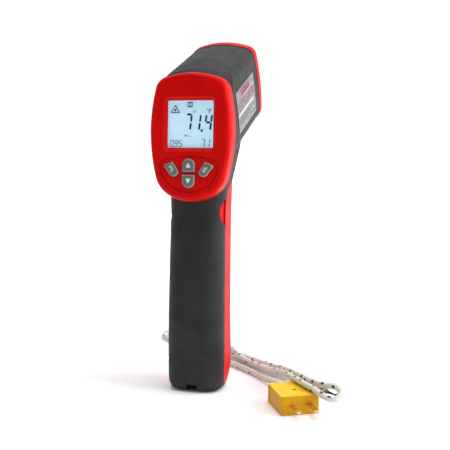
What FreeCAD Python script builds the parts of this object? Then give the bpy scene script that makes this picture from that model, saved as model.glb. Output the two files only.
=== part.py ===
"""Pistol-grip infrared thermometer with a plug-in bead probe, in millimetres.

Frame: +Z up, +Y the way the barrel points, +X to the right of whoever holds it.
The origin is the middle of the flat patch under the grip, so the floor is z = 0.
"""
import FreeCAD, Part
import math
import os
import Sketcher
from FreeCAD import Placement, Rotation, Vector

os.makedirs("parts", exist_ok=True)
doc = FreeCAD.newDocument("infrared_thermometer")

# ---------------------------------------------------------------- driving dimensions
DIMENSIONS = [
    # head: the display bezel and the barrel
    ("bezel_half_width", 28.1), ("bezel_half_height", 42.3), ("bezel_depth", 12.0),
    ("bezel_face_back", 23.3), ("bezel_face_height", 172.6), ("bezel_tilt", 3.6),
    ("bezel_edge_radius", 3.4), ("bezel_wall", 2.2), ("bezel_plate", 2.5),
    ("barrel_rise", 19.5), ("barrel_front_y", 65.5), ("barrel_front_z", 211.6),
    ("barrel_half_width", 25.0), ("barrel_half_height", 30.0), ("barrel_rear_half_width", 27.1),
    ("barrel_length", 104.0), ("wall", 2.1), ("ring_proud", 0.5), ("ring_length", 7.0),
    # display and keys
    ("window_width", 31.6), ("window_height", 30.8), ("window_centre", 8.5),
    ("window_bevel", 2.4), ("window_plate", 1.2), ("glass_width", 36.0), ("glass_height", 35.0),
    ("glass_thickness", 1.8), ("board_thickness", 1.6), ("membrane_thickness", 0.8),
    ("key_half_width", 4.3), ("key_proud", 1.3), ("key_depth", 4.2),
    ("key_gap", 0.25), ("key_edge", 0.7),
    # grip and battery door
    ("seam_gap", 0.15), ("hinge_y", 8.0), ("hinge_z", 10.5), ("hinge_pin_radius", 1.0),
    ("hinge_play", 0.06), ("knuckle_radius", 2.6), ("knuckle_half_width", 7.0),
    ("ear_width", 4.0), ("door_low", 4.5),
    ("battery_width", 26.5), ("battery_depth", 17.0), ("battery_height", 46.0),
    ("battery_low", 34.0), ("battery_back", -6.0), ("stud_height", 2.6),
    # trigger
    ("pivot_y", 24.0), ("pivot_z", 173.0), ("pivot_pin_radius", 1.0), ("trigger_half_width", 6.8),
    ("trigger_side_gap", 0.6),
    # optics, measured along the barrel from its front ring
    ("lens_radius", 8.5), ("lens_thickness", 2.4), ("tube_outer", 10.6), ("tube_inner", 8.6),
    ("tube_length", 34.0), ("can_radius", 4.6), ("can_height", 4.2), ("laser_radius", 3.3),
    ("laser_length", 15.0), ("laser_offset", 19.0), ("plate_recess", 4.0), ("plate_thickness", 2.4),
    # probe plug, lead and bead
    ("plug_width", 25.0), ("plug_length", 30.0), ("plug_height", 12.2), ("flange_length", 4.0),
    ("waist_inset", 1.1), ("blade_spacing", 11.4), ("blade_length", 14.0),
    ("blade_thickness", 1.0), ("plug_x", 80.4), ("plug_y", -43.6), ("plug_turn", 31.5),
    ("lead_diameter", 4.0), ("hank_width", 13.0), ("hank_height", 6.4),
    ("bead_radius", 1.3), ("wire_radius", 0.5),
    # small hardware
    ("screw_radius", 1.3), ("screw_head_radius", 2.6), ("screw_head_height", 1.8),
    ("boss_radius", 3.2), ("pilot_gap", 0.05),
]
sheet = doc.addObject("Spreadsheet::Sheet", "dims")
for row, (alias, value) in enumerate(DIMENSIONS, start=1):
    sheet.set(f"A{row}", alias)
    sheet.set(f"B{row}", str(value))
    sheet.setAlias(f"B{row}", alias)
doc.recompute()

NODES = []          # every finished sub-part, in the order it is made


def dim(alias):
    """The number that the sheet holds under this name."""
    return float(sheet.get(alias))


# ---------------------------------------------------------------- frames
# FACE: origin on the bezel's face, local x right, y up the face, z out towards the user.
FACE = Placement(Vector(0, -dim("bezel_face_back"), dim("bezel_face_height")),
                 Rotation(Vector(1, 0, 0), 90 - dim("bezel_tilt")))
# BARREL: origin in the middle of the front ring, local z runs back along the barrel.
BARREL = Placement(Vector(0, dim("barrel_front_y"), dim("barrel_front_z")),
                   Rotation(Vector(1, 0, 0), 90 + dim("barrel_rise")))
# PLUG: origin at the middle of the plug's front lower edge, local y runs back to the lead.
PLUG = Placement(Vector(dim("plug_x"), dim("plug_y"), 0),
                 Rotation(Vector(0, 0, 1), dim("plug_turn")))
WORLD = Placement()
ALONG_X = Rotation(Vector(0, 1, 0), 90)


def shape_part(label, shape):
    """A sub-part whose shape is worked out with Part's own functions."""
    obj = doc.addObject("Part::Feature", label)
    obj.Shape = shape
    NODES.append(obj)
    return obj


# ---------------------------------------------------------------- bound primitives
def bound(obj, **sizes):
    """Set sizes: a word is a sheet alias or an expression of aliases, a number is itself."""
    for name, size in sizes.items():
        if isinstance(size, str):
            words = size.split()
            text = " ".join("dims." + word if word[0].isalpha() else word for word in words)
            obj.setExpression(name, text)
        else:
            setattr(obj, name, size)
    obj.recompute()
    return obj


def box(length, width, height, x=0.0, y=0.0, z=0.0):
    """A bound box centred on (x, y) whose lower face is at z."""
    obj = bound(doc.addObject("Part::Box", "box"), Length=length, Width=width, Height=height)
    obj.Placement.Base = Vector(x - obj.Length.Value / 2, y - obj.Width.Value / 2, z)
    return obj


def rod(radius, height, x=0.0, y=0.0, z=0.0, turn=Rotation()):
    """A bound cylinder whose lower end is at (x, y, z); turn points it another way."""
    obj = bound(doc.addObject("Part::Cylinder", "rod"), Radius=radius, Height=height)
    obj.Placement = Placement(Vector(x, y, z), turn)
    return obj


def cone(low_radius, high_radius, height, x=0.0, y=0.0, z=0.0, turn=Rotation()):
    """A bound cone frustum whose lower end is at (x, y, z)."""
    obj = bound(doc.addObject("Part::Cone", "cone"), Radius1=low_radius, Radius2=high_radius,
                Height=height)
    obj.Placement = Placement(Vector(x, y, z), turn)
    return obj


def ball(radius, x=0.0, y=0.0, z=0.0):
    obj = bound(doc.addObject("Part::Sphere", "ball"), Radius=radius)
    obj.Placement.Base = Vector(x, y, z)
    return obj


def cut(base, *tools):
    """The base with each tool taken out of it."""
    for tool in tools:
        obj = doc.addObject("Part::Cut", "cut")
        obj.Base = base
        obj.Tool = tool
        base = obj
    return base


def fuse(*pieces):
    obj = doc.addObject("Part::MultiFuse", "fuse")
    obj.Shapes = list(pieces)
    return obj


def group(*pieces):
    """Separate solids that share one node."""
    obj = doc.addObject("Part::Compound", "group")
    obj.Links = list(pieces)
    return obj


def upright(edge):
    """True for an edge that runs along local z."""
    size = edge.BoundBox
    return size.ZLength > 0.1 and size.XLength < 1e-4 and size.YLength < 1e-4


def rounded(base, radius, pick=upright):
    """A bound solid with the edges that pick(edge) chooses rounded."""
    doc.recompute()
    obj = doc.addObject("Part::Fillet", "rounded")
    obj.Base = base
    edges = base.Shape.copy()
    edges.Placement = Placement()
    numbers = [n for n, edge in enumerate(edges.Edges, start=1) if pick(edge)]
    obj.Edges = [(n, radius, radius) for n in numbers]
    return obj


def sub_part(label, obj, frame=WORLD, x=0.0, y=0.0, z=0.0, turn=Rotation()):
    """Name a finished sub-part after its node and carry it into its frame."""
    obj.Label = label
    place = frame.multiply(Placement(Vector(x, y, z), turn))
    obj.Placement = place.multiply(obj.Placement)
    NODES.append(obj)
    return obj


# ---------------------------------------------------------------- bound bodies
def outline_body(label, points, height, fillet=0.0, pick=upright):
    """A PartDesign body: a closed outline of straight edges, padded, its edges rounded.

    Each corner is a pair of sheet expressions or numbers, held by dimensions from the origin.
    """
    body = doc.addObject("PartDesign::Body", label)
    sketch = body.newObject("Sketcher::SketchObject", label + "_outline")
    plane = [item for item in body.Origin.OriginFeatures if item.Role == "XY_Plane"][0]
    sketch.AttachmentSupport = [(plane, "")]
    sketch.MapMode = "FlatFace"
    count = len(points)
    for index, (x, y) in enumerate(points):
        after_x, after_y = points[(index + 1) % count]
        line = Part.LineSegment(Vector(x, y, 0), Vector(after_x, after_y, 0))
        sketch.addGeometry(line, False)
    for index in range(count):
        sketch.addConstraint(Sketcher.Constraint("Coincident", index, 2, (index + 1) % count, 1))
    for index, (x, y) in enumerate(points):
        for kind, value in (("DistanceX", x), ("DistanceY", y)):
            sketch.addConstraint(Sketcher.Constraint(kind, -1, 1, index, 1, value))
    feature = body.newObject("PartDesign::Pad", label + "_pad")
    feature.Profile = sketch
    feature.setExpression("Length", height)
    doc.recompute()
    if fillet:
        edges = [f"Edge{n}" for n, edge in enumerate(feature.Shape.Edges, start=1) if pick(edge)]
        rounding = body.newObject("PartDesign::Fillet", label + "_fillet")
        rounding.Base = (feature, edges)
        rounding.Radius = fillet
        doc.recompute()
    return body


# ---------------------------------------------------------------- shared outlines
def touching_centre(main, main_reach, side, side_reach, sign):
    """Centre at main_reach from one point and side_reach from the other, right of the axis."""
    gap = side - main
    distance = gap.Length
    along = (main_reach ** 2 - side_reach ** 2 + distance ** 2) / (2 * distance)
    across = math.sqrt(main_reach ** 2 - along ** 2)
    middle = main + gap * (along / distance)
    normal = Vector(-gap.y, gap.x, 0) * (across / distance)
    choices = [middle + normal, middle - normal]
    return max(choices, key=lambda point: sign * point.y)


def oval(half_width, side_y, top, bottom, radii, inset=0.0):
    """Closed outline of eight tangent arcs in the local xy plane, mirrored about x = 0.

    radii are those of the top, the upper corners, the sides, the lower corners and the bottom.
    inset moves the whole outline inwards by that distance.
    """
    top_r, upper_r, side_r, lower_r, bottom_r = [radius - inset for radius in radii]
    half_width -= inset
    top -= inset
    bottom += inset
    top_c = Vector(0, top - top_r, 0)
    bottom_c = Vector(0, bottom + bottom_r, 0)
    side_c = Vector(half_width - side_r, side_y, 0)
    upper_c = touching_centre(top_c, top_r - upper_r, side_c, side_r - upper_r, 1)
    lower_c = touching_centre(bottom_c, bottom_r - lower_r, side_c, side_r - lower_r, -1)

    def touch(centre, radius, small):
        return centre + (small - centre).normalize() * radius

    def middle(centre, radius, start, end):
        return centre + ((start - centre) + (end - centre)).normalize() * radius

    a = touch(top_c, top_r, upper_c)
    b = touch(side_c, side_r, upper_c)
    c = touch(side_c, side_r, lower_c)
    d = touch(bottom_c, bottom_r, lower_c)
    right = [
        (a, middle(upper_c, upper_r, a, b), b),
        (b, middle(side_c, side_r, b, c), c),
        (c, middle(lower_c, lower_r, c, d), d),
    ]

    def flip(point):
        return Vector(-point.x, point.y, 0)

    arcs = [(flip(a), Vector(0, top, 0), a)]
    arcs += right
    arcs += [(d, Vector(0, bottom, 0), flip(d))]
    arcs += [(flip(end), flip(mid), flip(start)) for start, mid, end in reversed(right)]
    edges = [Part.Arc(start, mid, end).toShape() for start, mid, end in arcs]
    return Part.Wire(edges)


def moved(shape, frame, z=0.0):
    """A copy of the shape carried into a frame, z along the frame's own z axis."""
    copy = shape.copy()
    copy.Placement = frame.multiply(Placement(Vector(0, 0, z), Rotation()))
    return copy


def prism(wire, low, high, frame):
    """The solid between two heights of an outline, in a frame."""
    solid = Part.Face(wire).extrude(Vector(0, 0, high - low))
    return moved(solid, frame, low)


BEZEL_RADII = (58.0, 10.0, 120.0, 20.0, 30.0)
FRONT_RADII = (57.0, 7.5, 200.0, 9.0, 57.0)
REAR_RADII = (58.0, 9.0, 200.0, 10.0, 58.0)


def bezel_outline(inset=0.0):
    half_height = dim("bezel_half_height")
    return oval(dim("bezel_half_width"), 4.0, half_height, -half_height, BEZEL_RADII, inset)


def front_outline(inset=0.0):
    half_height = dim("barrel_half_height")
    return oval(dim("barrel_half_width"), -3.0, half_height, -half_height, FRONT_RADII, inset)


def rear_outline(inset=0.0):
    half_height = dim("barrel_half_height")
    return oval(dim("barrel_rear_half_width"), -3.0, half_height + 0.4, -half_height - 1.0,
                REAR_RADII, inset)


def barrel_form(inset=0.0, start=0.0):
    """The tapered barrel from its front ring back past the bezel, inset all round."""
    front = moved(front_outline(inset + dim("ring_proud")), BARREL)
    rear = moved(rear_outline(inset), BARREL, dim("barrel_length"))
    solid = Part.makeLoft([front, rear], True, True)
    if start > 0:
        keep = Part.makeBox(120, 120, dim("barrel_length"), Vector(-60, -60, start))
        solid = solid.common(moved(keep, BARREL))
    return solid


# height, half width, rear y, front y, corner radius of the grip and of the neck above it
GRIP_STATIONS = [
    (0.0, 15.6, -17.6, 3.4, 8.5),
    (1.6, 18.0, -20.3, 5.6, 10.0),
    (5.0, 19.3, -21.8, 8.4, 11.5),
    (10.0, 19.6, -22.2, 13.4, 11.8),
    (17.0, 19.7, -22.2, 17.2, 12.0),
    (30.0, 19.7, -22.1, 16.2, 12.0),
    (52.0, 19.6, -21.7, 15.4, 12.0),
    (85.0, 19.3, -19.7, 17.4, 12.0),
    (118.0, 19.0, -17.4, 19.7, 12.0),
    (142.0, 19.3, -16.0, 21.4, 12.0),
    (154.0, 21.6, -15.4, 23.6, 12.0),
    (166.0, 23.4, -14.0, 27.0, 12.0),
    (182.0, 24.2, -12.0, 31.0, 12.0),
]


def round_rectangle(half_width, back, front, radius, height):
    """Rounded rectangle at one height, symmetric about x = 0."""
    corners = [(1, 1), (-1, 1), (-1, -1), (1, -1)]
    edges = []
    previous = None
    first = None
    for index, (sx, sy) in enumerate(corners):
        centre = Vector(sx * (half_width - radius), (front - radius) if sy > 0 else (back + radius),
                        height)
        start_angle = index * 90
        ends = []
        for angle in (start_angle, start_angle + 45, start_angle + 90):
            turned = math.radians(angle)
            ends.append(centre + Vector(math.cos(turned), math.sin(turned), 0) * radius)
        if previous is not None:
            edges.append(Part.LineSegment(previous, ends[0]).toShape())
        else:
            first = ends[0]
        edges.append(Part.Arc(*ends).toShape())
        previous = ends[2]
    edges.append(Part.LineSegment(previous, first).toShape())
    return Part.Wire(edges)


def grip_form(inset=0.0):
    """The grip with its chin, and the neck that runs up into the barrel."""
    wires = []
    for height, half_width, back, front, radius in GRIP_STATIONS:
        if inset > 0 and height < 1.0:
            continue
        wires.append(round_rectangle(half_width - inset, back + inset, front - inset,
                                     radius - inset, height))
    return Part.makeLoft(wires, True, True)


def shroud_form(inset=0.0):
    """The grey cup behind the bezel, which narrows forwards into the neck."""
    depth = dim("bezel_depth") + dim("seam_gap")
    sections = [(depth, 0.9), (depth + 6.0, 2.2), (depth + 17.0, 9.0)]
    wires = [moved(bezel_outline(step + inset), FACE, -back) for back, step in sections]
    return Part.makeLoft(wires, True, True)


def flare_form(inset=0.0):
    """The space that opens forwards from the bezel's rim and bevels the barrel's rear edge."""
    depth = dim("bezel_depth") + dim("seam_gap") - 0.1
    sections = [(depth, 0.5), (depth + 5.0, -4.0), (depth + 120.0, -60.0)]
    wires = [moved(bezel_outline(step + inset), FACE, -back) for back, step in sections]
    return Part.makeLoft(wires, True, True)


# ---------------------------------------------------------------- moulded shells
def half_space(frame, low):
    """Everything in a frame from height low upwards."""
    return moved(Part.makeBox(400, 400, 400, Vector(-200, -200, low)), frame)


def side_prism(points, low_x, high_x):
    """A profile of (y, z) points drawn out along X."""
    corners = [Vector(low_x, y, z) for y, z in points]
    face = Part.Face(Part.makePolygon(corners + corners[:1]))
    return face.extrude(Vector(high_x - low_x, 0, 0))


def x_rod(radius, low_x, high_x, y, z):
    return Part.makeCylinder(radius, high_x - low_x, Vector(low_x, y, z), Vector(1, 0, 0))


HINGE = (dim("hinge_y"), dim("hinge_z"))


def around_hinge(radius, angles):
    """Points of a circle about the door's hinge, angles in degrees from +Y."""
    return [(HINGE[0] + radius * math.cos(math.radians(angle)),
             HINGE[1] + radius * math.sin(math.radians(angle))) for angle in angles]


def door_region(gap=0.0):
    """Side profile of the battery door: a swept heel, a long seam and a curved top."""
    heel = around_hinge(17.6 + gap, (200, 196, 190, 185, 180))
    low = dim("door_low") - gap
    heel[0] = (heel[0][0], low)
    rise = [(-4.4 - gap, 116), (-3.4 - gap, 127), (-0.6 - gap, 134), (3.6 - gap, 138.6 + gap),
            (10.0, 142.0 + gap), (16.0, 143.0 + gap)]
    return side_prism([(40, low)] + heel + rise + [(40, 143.0 + gap)], -40, 40)


def thumb_scallop(gap=0.0):
    """The pull recess on each side, half an ellipse behind the seam."""
    points = []
    for step in range(13):
        angle = math.radians(90 + 15 * step)
        points.append((-3.2 + (8.4 - gap) * math.cos(angle), 121.5 + (8.8 - gap) * math.sin(angle)))
    return side_prism(points, -40, 40)


GRIP = grip_form()
GRIP_INSIDE = grip_form(dim("wall")).common(half_space(WORLD, 2.2))
BEHIND_BEZEL = -dim("bezel_depth") - dim("seam_gap")
BEZEL_SPACE = prism(bezel_outline(-0.15), BEHIND_BEZEL, 30, FACE)
RING_END = dim("ring_length") + 0.1


def boss(y, z, side, inner, outer):
    """A screw boss along X from the shell's side towards the middle."""
    low, high = sorted((side * inner, side * outer))
    return x_rod(dim("boss_radius"), low, high, y, z)


def on_barrel(across, back):
    """(y, z) of a point of the barrel's middle plane, across it and back from its front ring."""
    point = BARREL.multVec(Vector(0, across, back))
    return point.y, point.z


SCREW_PLACES = [(-15.5, 20.0), (-13.4, 78.0), (-9.5, 119.0), on_barrel(24.0, 30.0),
                on_barrel(-24.5, 30.0)]


def housing_outside():
    tail = barrel_form(0.0, RING_END).cut(half_space(FACE, BEHIND_BEZEL)).common(flare_form())
    return tail.fuse([shroud_form(), GRIP.cut(BEZEL_SPACE)])


def housing_inside():
    inner = barrel_form(dim("wall"), 0.0).cut(half_space(FACE, BEHIND_BEZEL + 0.4))
    inner = inner.common(flare_form(dim("wall")))
    return inner.fuse([shroud_form(dim("wall")), GRIP_INSIDE])


OUTSIDE = housing_outside()
INSIDE = housing_inside()
TRIGGER_SLOT = side_prism([(36, 168.2), (36, 142.9), (12, 142.9), (10, 165), (15, 182), (26, 182)],
                          -dim("trigger_half_width") - dim("trigger_side_gap"),
                          dim("trigger_half_width") + dim("trigger_side_gap"))
STRAP_NOTCH = Part.makeBox(7.4, 8.0, 6.0, Vector(-3.7, -25.0, -1.0))


def socket_opening(grow):
    """The pocket in the left side for the probe socket."""
    box = Part.makeBox(12, 13.0 + 2 * grow, 22.0 + 2 * grow,
                       Vector(-32, -18.0 - grow, 56.0 - grow))
    return moved(box, BARREL)


def housing_shell(side):
    """One half of the moulded housing; side is +1 for the right half, -1 for the left."""
    low_x, high_x = (0.01, 60) if side > 0 else (-60, -0.01)
    half = Part.makeBox(high_x - low_x, 400, 400, Vector(low_x, -200, -50))
    skin = OUTSIDE.cut(INSIDE).common(half)
    additions = []
    for y, z in SCREW_PLACES:
        additions.append(boss(y, z, side, 0.05, 23.0).common(OUTSIDE))
    ribs = []
    for low in (31.0, 82.0 + 3.4):
        ribs.append(Part.makeBox(19.4, 7.0, 2.0, Vector(0 if side > 0 else -19.4, -18.5, low)))
        ribs.append(Part.makeBox(16.0, 21.0, 2.0, Vector(0 if side > 0 else -16.0, -12.5, low)))
    reach = dim("knuckle_half_width") + 0.6
    ear_x = sorted((side * reach, side * (reach + dim("ear_width"))))
    ear = [(0.5, 1.4), (4.8, 1.4), (HINGE[0] + 1.9, HINGE[1] - 1.7),
           (HINGE[0] - 1.9, HINGE[1] + 1.7)]
    ear_solids = side_prism(ear, *ear_x).fuse(x_rod(dim("knuckle_radius"), *ear_x, *HINGE))
    pivot_inner = dim("trigger_half_width") + dim("trigger_side_gap")
    additions.append(boss(dim("pivot_y"), dim("pivot_z"), side, pivot_inner, 24.0).common(OUTSIDE))
    shell = skin.fuse(additions)
    tools = [TRIGGER_SLOT, STRAP_NOTCH, door_region(dim("seam_gap")), thumb_scallop()]
    if side < 0:
        tools.append(socket_opening(0.1))
    shell = shell.cut(tools)
    wire_slot = Part.makeBox(8, 5.5, 4, Vector(-4, -11.5, 84.5))
    ribs = [rib.common(GRIP).common(half).cut(wire_slot) for rib in ribs]
    shell = shell.fuse(ribs + [ear_solids])
    shell = shell.cut(x_rod(dim("hinge_pin_radius") + 0.02, -15, 15, *HINGE))
    shell = shell.cut(x_rod(dim("pivot_pin_radius") + 0.02, -12.2, 12.2, dim("pivot_y"),
                            dim("pivot_z")))
    for y, z in SCREW_PLACES:
        if side > 0:
            shell = shell.cut(x_rod(dim("screw_radius") + dim("pilot_gap"), -1, 10.2, y, z))
        else:
            shell = shell.cut(x_rod(dim("screw_radius") + 0.2, -40, 1, y, z))
            shell = shell.cut(x_rod(dim("screw_head_radius") + 0.3, -40, -9.0, y, z))
    return shell.removeSplitter()


def largest_solid(shape):
    """The main solid of a cut shape, without loose crumbs."""
    return max(shape.Solids, key=lambda solid: solid.Volume)


for label, side in (("shell_right", 1), ("shell_left", -1)):
    shell = housing_shell(side)
    shape_part(label, largest_solid(shell))


def battery_door():
    """The red door that forms the front of the grip, with its pull tabs and hinge knuckle."""
    region = door_region()
    skin = GRIP.cut(GRIP_INSIDE).common(region)
    tab_skin = grip_form(1.2).cut(grip_form(3.2))
    tab_zone = thumb_scallop(0.35).fuse(Part.makeBox(80, 5, 12, Vector(-40, -3.2, 114.5)))
    tabs = tab_skin.common(tab_zone)
    reach = dim("knuckle_half_width")
    web = [(HINGE[0] - 0.5, HINGE[1] - 2.4), (13.2, 11.0), (14.9, 15.4), (HINGE[0], HINGE[1] + 2.5)]
    knuckle = side_prism(web, -reach, reach).fuse(
        x_rod(dim("knuckle_radius"), -reach, reach, *HINGE))
    door = skin.fuse(tabs)
    wedge = [HINGE] + around_hinge(10.4, (-160, -140, -120, -100, -80, -60, -40, -26))
    for side in (1, -1):
        low, high = sorted((side * (reach + 0.3), side * (reach + dim("ear_width") + 0.9)))
        door = door.cut(side_prism(wedge, low, high))
        door = door.cut(x_rod(dim("knuckle_radius") + 2.0, low, high, *HINGE))
    door = door.fuse(knuckle)
    door = door.cut(x_rod(dim("hinge_pin_radius") + dim("hinge_play"), -15, 15, *HINGE))
    return door.removeSplitter()


door = battery_door()
shape_part("battery_door", largest_solid(door))


def key_outline(kind, grow=0.0):
    """Outline of one key in the face frame: a domed key or a six-sided side key."""
    reach = dim("key_half_width")
    if kind in ("up", "down"):
        sign = 1 if kind == "up" else -1
        flat = -23.6 + sign * 0.9
        shoulder = flat + sign * 4.4
        corners = [Vector(-reach, shoulder, 0), Vector(-reach, flat, 0), Vector(reach, flat, 0),
                   Vector(reach, shoulder, 0)]
        edges = [Part.LineSegment(a, b).toShape() for a, b in zip(corners, corners[1:])]
        crown = Vector(0, shoulder + sign * reach, 0)
        edges.append(Part.Arc(corners[3], crown, corners[0]).toShape())
        wire = Part.Wire(edges)
    else:
        sign = 1 if kind == "right" else -1
        points = [(11.2, -16.1), (16.9, -18.1), (16.6, -19.8), (12.9, -24.8), (10.5, -26.1),
                  (8.0, -25.1), (6.8, -22.8)]
        corners = [Vector(sign * x, y, 0) for x, y in points]
        wire = Part.makePolygon(corners + corners[:1])
    if grow:
        wire = wire.makeOffset2D(grow, 2)
    return wire


def rectangle(width, height, centre_y, radius=0.8):
    """Rounded rectangle in a local xy plane, centred on x = 0."""
    return round_rectangle_at(width / 2, centre_y - height / 2, centre_y + height / 2, radius)


def round_rectangle_at(half_width, low, high, radius):
    return round_rectangle(half_width, low, high, radius, 0.0)


FACE_SCREWS = [(-18.0, 31.6), (18.0, 31.6), (-22.4, -9.0), (22.4, -9.0)]


def rear_bezel():
    """The red cup round the display, with its window, key holes and key panel groove."""
    depth = dim("bezel_depth")
    solid = Part.Face(bezel_outline()).extrude(Vector(0, 0, depth))
    solid.translate(Vector(0, 0, -depth))
    front = [edge for edge in solid.Edges if abs(edge.BoundBox.ZMin) < 1e-6
             and edge.BoundBox.ZLength < 1e-6]
    solid = solid.makeFillet(dim("bezel_edge_radius"), front)
    plate = -dim("bezel_plate")
    cup = Part.Face(bezel_outline(dim("bezel_wall"))).extrude(Vector(0, 0, depth + plate + 0.1))
    cup.translate(Vector(0, 0, -depth - 0.1))
    solid = solid.cut(cup)
    centre = dim("window_centre")
    bevel = dim("window_bevel")
    mouth = rectangle(dim("window_width") + 2 * bevel, dim("window_height") + 2 * bevel, centre,
                      3.0)
    throat = rectangle(dim("window_width"), dim("window_height"), centre)
    mouth.translate(Vector(0, 0, 0.02))
    throat.translate(Vector(0, 0, -1.9))
    solid = solid.cut(Part.makeLoft([throat, mouth], True, True))
    hole = Part.Face(rectangle(dim("window_width"), dim("window_height"), centre))
    hole = hole.extrude(Vector(0, 0, 6))
    hole.translate(Vector(0, 0, -5))
    solid = solid.cut(hole)
    for kind in ("up", "down", "left", "right"):
        hole = Part.Face(key_outline(kind, dim("key_gap"))).extrude(Vector(0, 0, 8))
        hole.translate(Vector(0, 0, -6))
        solid = solid.cut(hole)
    panel_radii = (57.0, 3.0, 26.0, 10.0, 22.0)
    groove = Part.Face(oval(20.3, -18.0, -12.2, -36.2, panel_radii)).extrude(Vector(0, 0, 1))
    groove = groove.cut(Part.Face(oval(20.3, -18.0, -12.2, -36.2, panel_radii, 0.7)).extrude(
        Vector(0, 0, 1)))
    groove.translate(Vector(0, 0, -0.6))
    solid = solid.cut(groove)
    inner_face = -dim("bezel_plate")
    for x, y in FACE_SCREWS:
        stand = Part.makeCylinder(2.2, 6.1, Vector(x, y, inner_face - 6.0))
        stand = stand.common(Part.Face(bezel_outline(0.5)).extrude(Vector(0, 0, 20)).translated(
            Vector(0, 0, -15)))
        solid = solid.fuse(stand)
        solid = solid.cut(Part.makeCylinder(0.9 + dim("pilot_gap"), 5.8,
                                            Vector(x, y, inner_face - 6.1)))
    return moved(solid.removeSplitter(), FACE)


bezel = rear_bezel()
shape_part("rear_bezel", largest_solid(bezel))


def front_ring():
    """The red ring that frames the mouth of the barrel."""
    length = dim("ring_length")
    ring = Part.Face(front_outline()).extrude(Vector(0, 0, length))
    lip = [edge for edge in ring.Edges if abs(edge.BoundBox.ZMax) < 1e-6]
    ring = ring.makeFillet(1.4, lip)
    ring = ring.cut(Part.Face(front_outline(3.0)).extrude(Vector(0, 0, length + 1)).translated(
        Vector(0, 0, -0.5)))
    return moved(ring, BARREL)


def front_plate():
    """The dark plate inside the ring, with openings for the lens and the laser."""
    plate = Part.Face(front_outline(3.1)).extrude(Vector(0, 0, dim("plate_thickness")))
    lens_hole = Part.makeCylinder(dim("tube_outer") + 2.1, 10, Vector(0, -2, -2))
    laser_hole = Part.makeCylinder(dim("laser_radius") + 1.35, 10,
                                   Vector(0, dim("laser_offset"), -2))
    plate = plate.cut(lens_hole).cut(laser_hole)
    return moved(plate, BARREL, dim("plate_recess"))


shape_part("front_bezel", front_ring())
shape_part("front_plate", front_plate())


def side_label(side):
    """A thin foil on the flat of the barrel, following its surface."""
    skin = barrel_form(-0.32).cut(barrel_form(-0.03))
    low_x, length = (5, 49.5) if side > 0 else (-65, 33.5)
    zone = Part.makeBox(60, 28.4, length, Vector(low_x, -15.6, 19.5))
    return skin.common(moved(zone, BARREL))


for label, side in (("label_right", 1), ("label_left", -1)):
    foil = side_label(side)
    shape_part(label, largest_solid(foil))


def key(kind):
    """A key as an outline drawn out and edged, standing proud of the bezel."""
    low = dim("key_proud") - dim("key_depth") - 0.6
    solid = Part.Face(key_outline(kind)).extrude(Vector(0, 0, dim("key_proud") - low))
    solid.translate(Vector(0, 0, low))
    top = [edge for edge in solid.Edges if abs(edge.BoundBox.ZMin - dim("key_proud")) < 1e-6]
    solid = solid.makeChamfer(dim("key_edge"), top)
    return moved(solid, FACE)


for kind in ("up", "down", "left", "right"):
    shape_part("button_" + kind, key(kind))


# ---------------------------------------------------------------- display and keypad stack
# Levels run inwards from the bezel's face; each layer starts just behind the one in front.
WINDOW_Y = dim("window_centre")
WINDOW_LOW = -dim("bezel_plate") - 0.05 - dim("window_plate")
GLASS_LOW = WINDOW_LOW - 0.1 - dim("glass_thickness")
BOARD_TOP = -8.55
BOARD_LOW = BOARD_TOP - dim("board_thickness")

sub_part("display_window", box("glass_width", "glass_height", "window_plate", 0, WINDOW_Y,
                               WINDOW_LOW), FACE)
sub_part("lcd_glass", box("glass_width", "glass_height", "glass_thickness", 0, WINDOW_Y,
                          GLASS_LOW), FACE)
frame_outer = box("glass_width + 3.0", "glass_height + 3.0", 5.4, 0, WINDOW_Y, -8.0)
frame_inner = box("glass_width + 0.4", "glass_height + 0.4", 7.0, 0, WINDOW_Y, -9.0)
sub_part("lcd_frame", cut(frame_outer, frame_inner), FACE)
sub_part("backlight", box("glass_width - 2.0", 28.0, 1.4, 0, WINDOW_Y, GLASS_LOW - 1.5), FACE)
strip_height = GLASS_LOW - 0.05 - BOARD_TOP - 0.05
strips = [box(30.0, 1.8, strip_height, 0, WINDOW_Y + side * 16.2, BOARD_TOP + 0.05)
          for side in (1, -1)]
sub_part("zebra_strips", group(*strips), FACE)

board_half = [(19, 35), (22.4, 29), (24.6, 10), (24.6, -10), (21.5, -22), (13, -33)]
board_points = board_half + [(-x, y) for x, y in reversed(board_half)]
board_holes = [rod(1.1, 4.0, x, y, -1.0) for x, y in FACE_SCREWS]
board_plate = outline_body("board_plate", board_points, "dims.board_thickness")
sub_part("main_board", cut(board_plate, *board_holes), FACE, z=BOARD_LOW)
pad_half = [(17.4, -14.4), (17.4, -22.0), (9.0, -34.0)]
pad_points = pad_half + [(-x, y) for x, y in reversed(pad_half)]
sub_part("keypad_membrane", outline_body("keypad_sheet", pad_points,
                                         "dims.membrane_thickness", 1.5), FACE, z=-5.2)
KEY_CENTRES = [(0, -18.9), (0, -28.4), (-11.6, -20.9), (11.6, -20.9)]
domes = [rod(2.6, 2.5, x, y, BOARD_TOP) for x, y in KEY_CENTRES]
sub_part("key_switches", group(*domes), FACE)
sub_part("buzzer", cut(rod(5.5, 3.2, 10, -8, BOARD_LOW - 3.2), rod(1.0, 1.5, 10, -8,
                                                                   BOARD_LOW - 3.3)), FACE)
chips = [box(10.0, 10.0, 1.3, -8, 8, BOARD_LOW - 1.3), box(6.0, 5.0, 1.3, 8, 12,
                                                           BOARD_LOW - 1.3),
         box(5.0, 4.0, 1.3, -8, -10, BOARD_LOW - 1.3)]
sub_part("board_chips", group(*chips), FACE)
board_screws = []
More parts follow.
